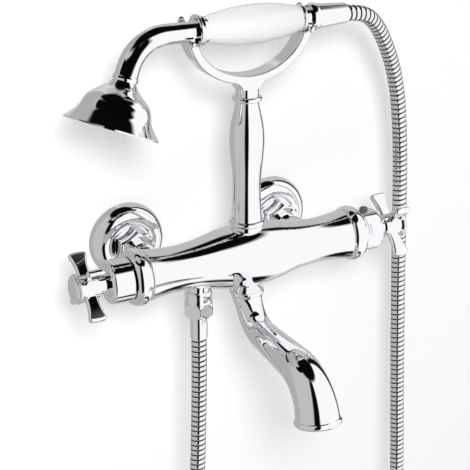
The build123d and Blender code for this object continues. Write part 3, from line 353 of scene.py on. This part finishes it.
class MixerSizes(bpy.types.PropertyGroup):
    """Sizes that change the look of the dressed mixer."""

    hose_pitch: FloatProperty(name="Hose pitch", description="Length of one turn of the hose's strip",
                              default=5.0 * MM, min=2 * MM, max=10 * MM, subtype="DISTANCE", unit="LENGTH")
    hose_groove: FloatProperty(name="Hose groove", description="Depth of the groove between two turns",
                               default=0.9 * MM, min=0.0, max=2 * MM, subtype="DISTANCE", unit="LENGTH")
    hose_plain_end: FloatProperty(name="Plain hose end", description="Smooth end between the ribs and the cone nut",
                                  default=8 * MM, min=0.0, max=30 * MM, subtype="DISTANCE", unit="LENGTH")
    round_steps: IntProperty(name="Steps round", description="Faces round each turned piece", default=96, min=24,
                             max=256)


class MIXER_OT_finishes(bpy.types.Operator):
    """Give every CAD part the finish of its material slot"""

    bl_idname = "mixer.finishes"
    bl_label = "Finishes"

    def execute(self, context):
        slots = {part["node"]: part["material_slot"] for part in frame["record"]["subparts"]}
        for name, node in frame["nodes"].items():
            node.data.materials.clear()
            node.data.materials.append(finish(slots[name]))
        return {"FINISHED"}


class MIXER_OT_hose(bpy.types.Operator):
    """Wind the shower hose from strip along its hanging route"""

    bl_idname = "mixer.hose"
    bl_label = "Hose"

    def execute(self, context):
        sizes = context.scene.mixer_sizes
        line = hose_centre_line()
        places, total = along(line, sizes.hose_pitch / 12)
        step = total / (len(places) - 1)
        turns = int(total / sizes.hose_pitch)
        bands = len(HOSE_TURN)
        ribbed = total - sizes.hose_plain_end
        into_wall = Vector((0, 1, 0))
        bm = bmesh.new()
        rows = []
        # each row winds once round the hose while it moves on by one turn, and the ends are cut square
        for turn in range(-1, turns + 2):
            for share, deep in HOSE_TURN:
                row = []
                for k in range(HOSE_SIDES):
                    distance = min(max((turn + share - k / HOSE_SIDES) * total / turns, 0.0), total)
                    index = min(int(distance / step), len(places) - 2)
                    centre = places[index].lerp(places[index + 1], distance / step - index)
                    heading = (places[min(index + 2, len(places) - 1)] - places[max(index - 1, 0)]).normalized()
                    side = heading.cross(into_wall).normalized()
                    around = 2 * pi * k / HOSE_SIDES
                    outward = side * cos(around) + side.cross(heading) * sin(around)
                    cut = deep if distance < ribbed else 0.0
                    row.append(bm.verts.new(centre + outward * (HOSE_R * MM - cut * sizes.hose_groove)))
                rows.append(row)
        for number, (first, second) in enumerate(zip(rows, rows[1:])):
            if number + bands + 1 >= len(rows):
                break
            later, last = rows[number + bands], rows[number + bands + 1]
            strip = [bm.faces.new((later[k], later[k + 1], last[k + 1], last[k])) for k in range(HOSE_SIDES - 1)]
            strip.append(bm.faces.new((later[-1], first[0], second[0], last[-1])))
            grooved = (number // bands - 1) * total / turns < ribbed
            # faces deep in the groove take the second material, dark steel that paints the groove's shade
            if grooved and number % bands in HOSE_SHADED_BANDS:
                for face in strip:
                    face.material_index = 1
        bmesh.ops.remove_doubles(bm, verts=bm.verts, dist=0.001 * MM)
        bmesh.ops.delete(bm, geom=[v for v in bm.verts if not v.link_faces], context="VERTS")
        bmesh.ops.holes_fill(bm, edges=[edge for edge in bm.edges if edge.is_boundary], sides=0)
        bmesh.ops.recalc_face_normals(bm, faces=bm.faces)
        mesh = to_mesh("shower_hose_strip", bm)
        piece = link_object("shower_hose_strip", mesh)
        mesh.shade_smooth()
        mesh.materials.append(finish("hose_steel"))
        # second material: painted shade in the grooves
        mesh.materials.append(groove_painted_shade())
        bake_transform(piece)
        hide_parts("shower_hose")
        return {"FINISHED"}


# Column, in mm: heights over its foot with radii, then the bead on top
COLUMN_BASE = ((0.0, 11.0), (0.0, 13.6), (0.5, 14.7), (1.4, 15.5), (2.4, 15.7), (3.4, 15.5), (4.3, 14.7), (4.8, 13.4))
COLUMN_SHAFT = ((5.3, 13.3), (11, 13.1), (23, 12.4), (35, 12.1), (47, 12.6), (60, 14.0), (75, 15.0), (85, 14.6),
                (92, 13.7), (102, 11.6))
COLUMN_NECK_R = 9.7
COLUMN_NECK_BELOW_TOP = 5.2
BEAD_RING_R = 10.3
BEAD_ROUND = 2.5


class MIXER_OT_column(bpy.types.Operator):
    """Turn the cradle's baluster column between its base ring and its bead"""

    bl_idname = "mixer.column"
    bl_label = "Column"

    def execute(self, context):
        low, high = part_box("cradle_column")
        foot, top = low[2] / MM, high[2] / MM
        base = [(foot + height, r) for height, r in COLUMN_BASE]
        shaft = [(foot + height, r) for height, r in COLUMN_SHAFT]
        shaft.append((top - COLUMN_NECK_BELOW_TOP, COLUMN_NECK_R))
        bead = [(top - BEAD_ROUND + BEAD_ROUND * cos(turn), BEAD_RING_R + BEAD_ROUND * sin(turn))
                for turn in (pi - pi * k / 14 for k in range(15))]
        outline = [*base, *flowing(shaft, 8), *bead, (top, 8.0)]
        mesh = upright("column_turned", 0.0, outline, context.scene.mixer_sizes.round_steps)
        set_piece("column_turned", mesh, "mixer", "chrome", ["cradle_column"])
        return {"FINISHED"}


# Outlet collar and hose nut, in mm: the collar's upper end by height, its lower end by height over the nut
COLLAR_UPPER = ((-17.7, 10.0), (-18.2, 11.3), (-19.4, 12.1), (-21.0, 12.25))
COLLAR_LOWER = ((5.4, 11.95), (2.6, 11.8), (1.2, 12.0), (0.4, 12.2), (0.0, 11.5))
NUT_FLATS = 24.0
NUT_BORE_TOP_R = 9.0
NUT_BORE_BOTTOM_R = 7.7
# the nut's ends are turned this far inside its flats, and its crown stands this far past its corners
NUT_END_INSIDE = 0.7
NUT_CROWN_OVER = 0.1
NUT_CORNER_AT = 10


class MIXER_OT_hose_union(bpy.types.Operator):
    """Turn the outlet collar under the body and cut the crowned nut that holds the hose to it"""

    bl_idname = "mixer.hose_union"
    bl_label = "Hose union"

    def execute(self, context):
        steps = context.scene.mixer_sizes.round_steps
        x = HOSE_ROUTE[0][0]
        low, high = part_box("lower_hose_nut")
        bottom, top = low[2] / MM, high[2] / MM
        # the collar runs from the underside of the body to the top of the nut
        collar = [*COLLAR_UPPER, *((top + height, r) for height, r in COLLAR_LOWER)]
        mesh = upright("outlet_collar", x, flowing(collar, 4), steps)
        set_piece("outlet_collar", mesh, "mixer", "chrome", ["shower_outlet_nipple"])
        # the six corners, one of them turned to the front, are rounded off towards both ends of the nut
        end_r = NUT_FLATS / 2 - NUT_END_INSIDE
        crown_r = NUT_FLATS / sqrt(3) + NUT_CROWN_OVER
        rows = [circle((x, BODY_Y, top), UP, [NUT_BORE_TOP_R] * steps)]
        for step in range(25):
            share = step / 24
            crown = end_r + (crown_r - end_r) * sqrt(1 - (2 * share - 1) ** 2)
            radii = []
            for k in range(steps):
                from_flat = radians((360 * k / steps - NUT_CORNER_AT) % 60 - 30)
                radii.append(min(NUT_FLATS / 2 / cos(from_flat), crown))
            rows.append(circle((x, BODY_Y, top + (bottom - top) * share), UP, radii))
        rows.append(circle((x, BODY_Y, bottom), UP, [NUT_BORE_BOTTOM_R] * steps))
        set_piece("hose_nut", skin("hose_nut", rows), "mixer", "chrome", ["lower_hose_nut"], smooth_angle=24)
        return {"FINISHED"}


# Spout, in mm and degrees: heights and radii of its lip, then the path of its tube forwards and down from there
SPOUT_LIP = ((-26.65, 7.6), (-26.65, 13.9), (-26.85, 14.7), (-27.5, 15.4), (-28.4, 15.6), (-29.3, 15.5),
             (-30.2, 15.1), (-30.9, 14.6), (-31.5, 14.2), (-32.1, 14.1))
SPOUT_START_FORWARD = 2.8
SPOUT_START_HEIGHT = -32.65
SPOUT_START_SLOPE = 11.3 - 90
# length and turn of each stage: a bend forwards, a straight run and a bend down again
SPOUT_STAGES = ((33.9 * radians(76.4), 76.4), (51.7, 0.0), (41.3 * radians(76.1), -76.1))
SPOUT_STEPS = 40
SPOUT_ROOT_R = 12.0
SPOUT_GROWTH = 7.0
SPOUT_GROWTH_POWER = 1.5
# the tube widens a little and stands upright where it leaves the lip
SPOUT_FLARE = 2.1
SPOUT_FLARE_LENGTH = 13.0
# the open end: radii, and how far back from the end
SPOUT_MOUTH = ((19.0, 0.0), (16.6, 0.0), (16.0, 14.0))
SCREW_HOLE_R = 2.05
SCREW_HOLE_DEPTH = 14.0


class MIXER_OT_spout(bpy.types.Operator):
    """Sweep the spout as one flowing tube from its thin lip down to the outlet"""

    bl_idname = "mixer.spout"
    bl_label = "Spout"

    def execute(self, context):
        steps = context.scene.mixer_sizes.round_steps
        rows = [circle((0, BODY_Y, z), UP, [r] * steps) for z, r in SPOUT_LIP]
        total = sum(length for length, turn in SPOUT_STAGES)
        forward, height, gone = SPOUT_START_FORWARD, SPOUT_START_HEIGHT, 0.0
        slope = radians(SPOUT_START_SLOPE)
        for length, turn in SPOUT_STAGES:
            stride, bend = length / SPOUT_STEPS, radians(turn) / SPOUT_STEPS
            for step in range(SPOUT_STEPS):
                near_lip = max(0.0, 1 - gone / SPOUT_FLARE_LENGTH) ** 2
                tilt = slope * (1 - near_lip) - pi / 2 * near_lip
                radius = SPOUT_ROOT_R + SPOUT_GROWTH * (gone / total) ** SPOUT_GROWTH_POWER + SPOUT_FLARE * near_lip
                centre = (0, BODY_Y - forward + SPOUT_START_FORWARD * near_lip, height)
                rows.append(circle(centre, -Vector((0, -cos(tilt), sin(tilt))), [radius] * steps))
                forward += cos(slope + bend / 2) * stride
                height += sin(slope + bend / 2) * stride
                slope += bend
                gone += stride
        heading = Vector((0, -cos(slope), sin(slope)))
        end = Vector((0, BODY_Y - forward, height))
        for radius, back in SPOUT_MOUTH:
            rows.append(circle(end - heading * back, -heading, [radius] * steps))
        piece = set_piece("spout_swept", skin("spout_swept", rows), "spout_arm", "chrome", ["spout"])
        # the hole at the back of the lip, where the grub screw sits
        low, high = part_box("spout_set_screw")
        bm = bmesh.new()
        bmesh.ops.create_cone(bm, segments=32, radius1=SCREW_HOLE_R * MM, radius2=SCREW_HOLE_R * MM,
                              depth=SCREW_HOLE_DEPTH * MM, cap_ends=True, matrix=Matrix.Rotation(pi / 2, 4, "X"))
        bmesh.ops.translate(bm, verts=bm.verts, vec=(0, high[1], (low[2] + high[2]) / 2))
        drill_mesh = to_mesh("screw_drill", bm)
        drill = link_object("screw_drill", drill_mesh)
        hole = piece.modifiers.new("screw_hole", "BOOLEAN")
        hole.object = drill
        hole.solver = "EXACT"
        drilled = bpy.data.meshes.new_from_object(piece.evaluated_get(context.evaluated_depsgraph_get()))
        piece.modifiers.clear()
        plain = piece.data
        piece.data = drilled
        bpy.data.objects.remove(drill)
        bpy.data.meshes.remove(drill_mesh)
        bpy.data.meshes.remove(plain)
        return {"FINISHED"}


# Index lines: distance from the body's end of the sleeve in mm, and how far each runs up its front in degrees
INDEX_LINES = ((3.0, 8, 62), (5.5, 8, 38))
# how each line lies across the sleeve in mm, along it and out of it: a low rounded strip
INDEX_SECTION = ((-0.28, -0.1), (-0.28, 0.0), (0, 0.04), (0.28, 0.0), (0.28, -0.1))


class MIXER_OT_index_lines(bpy.types.Operator):
    """Fill the two fine index lines round the front of the temperature sleeve"""

    bl_idname = "mixer.index_lines"
    bl_label = "Index lines"

    def execute(self, context):
        low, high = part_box("temperature_sleeve")
        radius = (high[1] - low[1]) / 2
        middle = Vector((0.0, (low[1] + high[1]) / 2, BODY_Z * MM))
        bm = bmesh.new()
        for along_sleeve, first, last in INDEX_LINES:
            rings = []
            for step in range(41):
                turn = radians(first + (last - first) * step / 40)
                outward = Vector((0.0, -cos(turn), sin(turn)))
                x = low[0] + along_sleeve * MM
                rings.append([bm.verts.new(middle + Vector((x + dx * MM, 0, 0)) + outward * (radius + dr * MM))
                              for dx, dr in INDEX_SECTION])
            for a, b in zip(rings, rings[1:]):
                for k in range(-1, len(a) - 1):
                    bm.faces.new((a[k], a[k + 1], b[k + 1], b[k]))
            bm.faces.new(rings[0])
            bm.faces.new(reversed(rings[-1]))
        bmesh.ops.recalc_face_normals(bm, faces=bm.faces)
        piece = set_piece("index_lines", to_mesh("index_lines", bm), "temperature_control", "dark_plastic")
        piece.data.materials[0] = index_enamel()
        return {"FINISHED"}


def studio_card(name, tone, azimuths, elevations, soft, around, distance):
    """A curved card round the mixer that only polished surfaces see: the flags and panels of a studio.

    Azimuth 0 is straight out from the wall and grows to the right, elevation 90 is overhead. The card fades out
    over its last soft degrees."""
    centre = Vector(around) * MM
    columns, rows = 48, 24
    bm = bmesh.new()
    fade = bm.verts.layers.float.new("solid")
    width = azimuths[1] - azimuths[0]
    height = elevations[1] - elevations[0]
    grid = []
    for row in range(rows + 1):
        up = radians(elevations[0] + height * row / rows)
        line = []
        for column in range(columns + 1):
            turn = radians(azimuths[0] + width * column / columns)
            heading = Vector((sin(turn) * cos(up), -cos(turn) * cos(up), sin(up)))
            corner = bm.verts.new(centre + heading * distance)
            inside = [height * min(row, rows - row) / rows]
            if width < 360:
                inside.append(width * min(column, columns - column) / columns)
            if elevations[1] == 90 or elevations[0] == -90:
                inside[0] = height * (row if elevations[1] == 90 else rows - row) / rows
            corner[fade] = min(min(inside) / soft, 1.0)
            line.append(corner)
        grid.append(line)
    for low, high in zip(grid, grid[1:]):
        for k in range(columns):
            bm.faces.new((low[k], low[k + 1], high[k + 1], high[k]))
    mesh = to_mesh(name, bm)
    material = bpy.data.materials.new(name)
    material.use_nodes = True
    tree = material.node_tree
    tree.nodes.clear()
    glow = add_node(tree, "ShaderNodeEmission", values={"Color": linear(tone)})
    clear = add_node(tree, "ShaderNodeBsdfTransparent")
    solid = add_node(tree, "ShaderNodeAttribute", {"attribute_name": "solid"})
    card_face = add_node(tree, "ShaderNodeMixShader", links={"Fac": solid.outputs["Fac"], 1: clear.outputs["BSDF"],
                                                             2: glow.outputs["Emission"]})
    add_node(tree, "ShaderNodeOutputMaterial", links={"Surface": card_face.outputs["Shader"]})
    mesh.materials.append(material)
    card = link_object(name, mesh)
    for ray in ("camera", "diffuse", "transmission", "shadow", "volume_scatter"):
        setattr(card, "visible_" + ray, False)
    return card


def seen_directly(tree):
    """The socket that is 1 for what the camera sees by itself, in a mirror or through glass, and 0 for other light."""
    path = add_node(tree, "ShaderNodeLightPath")
    seen = add_node(tree, "ShaderNodeMath", {"operation": "MAXIMUM"},
                    links={0: path.outputs["Is Camera Ray"], 1: path.outputs["Is Glossy Ray"]})
    through = add_node(tree, "ShaderNodeMath", {"operation": "MAXIMUM"},
                       links={0: seen.outputs["Value"], 1: path.outputs["Is Transmission Ray"]})
    return through.outputs["Value"]


def backdrop(name, corners, lift):
    """A plain white sheet that stays white in the picture where it is lit, and keeps soft shadows."""
    mesh = bpy.data.meshes.new(name)
    mesh.from_pydata(corners, [], [tuple(range(len(corners)))])
    material, tree, shader = new_material(name + "_matt_white")
    shader.inputs["Base Color"].default_value = linear("#f4f4f4")
    shader.inputs["Roughness"].default_value = 0.9
    shader.inputs["Specular IOR Level"].default_value = 0.0
    strength = add_node(tree, "ShaderNodeMath", {"operation": "MULTIPLY"}, {1: lift}, {0: seen_directly(tree)})
    glow = add_node(tree, "ShaderNodeEmission", values={"Color": linear("#ffffff")},
                    links={"Strength": strength.outputs["Value"]})
    both = add_node(tree, "ShaderNodeAddShader", links={0: shader.outputs["BSDF"], 1: glow.outputs["Emission"]})
    # the sheet can be looked through from its back, so that the mixer can be seen from behind
    side = add_node(tree, "ShaderNodeNewGeometry")
    clear = add_node(tree, "ShaderNodeBsdfTransparent")
    sheet = add_node(tree, "ShaderNodeMixShader", links={"Fac": side.outputs["Backfacing"],
                                                         1: both.outputs["Shader"], 2: clear.outputs["BSDF"]})
    tree.links.new(sheet.outputs["Shader"], tree.nodes["Material Output"].inputs["Surface"])
    mesh.materials.append(material)
    sheet_object = link_object(name, mesh)
    sheet_object.visible_glossy = False
    return sheet_object


# Name, tone, azimuths, elevations and soft edge in degrees, then what the card stands round, in mm, and how far off.
# The later of two cards at one place stands nearer, so it covers the other's edge.
STUDIO_CARDS = (
    ("panel_left", "#c2c2c2", (-128, -28), (-60, 66), 8, BODY, 2.40),
    ("panel_far_left", "#b0b0b0", (-192, -112), (-60, 76), 12, BODY, 2.36),
    ("panel_low_left", "#aeaeae", (-192, -6), (-90, -44), 8, BODY, 2.32),
    ("panel_wall", "#c0c0c0", (110, 176), (-66, 74), 8, BODY, 2.28),
    ("panel_low_right", "#bababa", (84, 190), (-90, -54), 8, BODY, 2.24),
    ("panel_floor", "#b0b0b0", (-180, 180), (-90, -74), 6, BODY, 2.20),
    ("flag_low_right", "#121212", (36, 150), (-71, -57), 4, BODY, 2.16),
    ("flag_low", "#121212", (-4, 46), (-78, -58), 7, BODY, 2.12),
    ("flag_right", "#0e0e0e", (100, 121), (-44, 64), 5, BODY, 2.08),
    ("flag_camera", "#070707", (-46, -13), (-48, 66), 6, BODY, 2.04),
    ("flag_back", "#0a0a0a", (-180, 180), (58, 90), 6, BODY, 2.00),
    ("flag_overhead", "#0a0a0a", (-102, 102), (53, 90), 7, BODY, 0.60),
    ("flag_bell", "#070707", (-96, 46), (12, 62), 5, BELL, 0.11),
)


# Camera fitted to the photograph: place in metres, turn from straight at the wall and tilt down in degrees, and its
# focal length as a share of the picture's width
CAMERA_PLACE = (-0.51867, -1.05377, 0.46927)
CAMERA_TURN = 27.88
CAMERA_TILT = 22.22
CAMERA_SENSOR = 36.0
CAMERA_FOCUS = 1344.88 / 470

# Wall and floor sheets in metres, and how much they glow by themselves
SHEET_REACH = 3.0
WALL_Y = 0.0006
FLOOR_Z = -0.62
SHEET_LIFT = 0.24

# Light of the room that is not seen directly, and the one soft lamp, in metres and watts
ROOM_LIGHT = 0.45
LAMP_PLACE = (-0.5, -1.35, 0.72)
LAMP_AIM = (0, -0.05, 0.05)
LAMP_SIZE = 0.3
LAMP_POWER = 12.0


class MIXER_OT_studio(bpy.types.Operator):
    """Set up the camera, the wall, the floor and soft studio light with dark flags"""

    bl_idname = "mixer.studio"
    bl_label = "Studio"

    def execute(self, context):
        scene = context.scene
        scene.view_settings.view_transform = "Standard"
        data = bpy.data.cameras.new("camera")
        camera = link_object("camera", data)
        scene.camera = camera
        data.sensor_width = CAMERA_SENSOR
        data.sensor_fit = "HORIZONTAL"
        data.lens = CAMERA_SENSOR * CAMERA_FOCUS
        data.clip_start = 0.01
        data.clip_end = 50.0
        camera.location = CAMERA_PLACE
        turn, tilt = radians(CAMERA_TURN), radians(CAMERA_TILT)
        look = Vector((sin(turn) * cos(tilt), cos(turn) * cos(tilt), -sin(tilt)))
        camera.rotation_mode = "QUATERNION"
        camera.rotation_quaternion = look.to_track_quat("-Z", "Y")

        world = bpy.data.worlds.new("studio")
        scene.world = world
        world.use_nodes = True
        tree = world.node_tree
        tree.nodes.clear()
        strength = add_node(tree, "ShaderNodeMapRange", values={"To Min": ROOM_LIGHT, "To Max": 1.0},
                            links={"Value": seen_directly(tree)})
        shine = add_node(tree, "ShaderNodeBackground", values={"Color": linear("#ffffff")},
                         links={"Strength": strength.outputs["Result"]})
        add_node(tree, "ShaderNodeOutputWorld", links={"Surface": shine.outputs["Background"]})

        foot = [(-SHEET_REACH, WALL_Y, FLOOR_Z), (SHEET_REACH, WALL_Y, FLOOR_Z)]
        top = [(SHEET_REACH, WALL_Y, SHEET_REACH), (-SHEET_REACH, WALL_Y, SHEET_REACH)]
        front = [(-SHEET_REACH, -SHEET_REACH, FLOOR_Z), (SHEET_REACH, -SHEET_REACH, FLOOR_Z)]
        backdrop("wall_sheet", foot + top, SHEET_LIFT)
        backdrop("floor_sheet", front + foot[::-1], SHEET_LIFT)

        for card in STUDIO_CARDS:
            studio_card(*card)

        lamp_data = bpy.data.lights.new("softbox", "AREA")
        lamp_data.shape = "SQUARE"
        lamp_data.size = LAMP_SIZE
        lamp_data.energy = LAMP_POWER
        lamp = link_object("softbox", lamp_data)
        lamp.location = LAMP_PLACE
        lamp.rotation_mode = "QUATERNION"
        lamp.rotation_quaternion = (Vector(LAMP_AIM) - lamp.location).to_track_quat("-Z", "Y")
        lamp.visible_glossy = False
        return {"FINISHED"}


class MIXER_PT_panel(bpy.types.Panel):
    """Lists the mixer's steps and sizes"""

    bl_idname = "MIXER_PT_panel"
    bl_label = "Bath mixer"
    bl_space_type = "VIEW_3D"
    bl_region_type = "UI"
    bl_category = "Bath mixer"

    def draw(self, context):
        layout = self.layout
        for step in STEPS:
            layout.operator(step.bl_idname)
        for name in MixerSizes.__annotations__:
            layout.prop(context.scene.mixer_sizes, name)


STEPS = (MIXER_OT_finishes, MIXER_OT_hose, MIXER_OT_hose_union, MIXER_OT_column, MIXER_OT_spout,
         MIXER_OT_index_lines, MIXER_OT_studio)
CLASSES = (MixerSizes, *STEPS, MIXER_PT_panel)


def register():
    for cls in CLASSES:
        bpy.utils.register_class(cls)
    bpy.types.Scene.mixer_sizes = PointerProperty(type=MixerSizes)


def unregister():
    del bpy.types.Scene.mixer_sizes
    for cls in reversed(CLASSES):
        bpy.utils.unregister_class(cls)


def main():
    register()
    for step in STEPS:
        group, name = step.bl_idname.split(".")
        getattr(getattr(bpy.ops, group), name)()


if __name__ == "__main__":
    main()
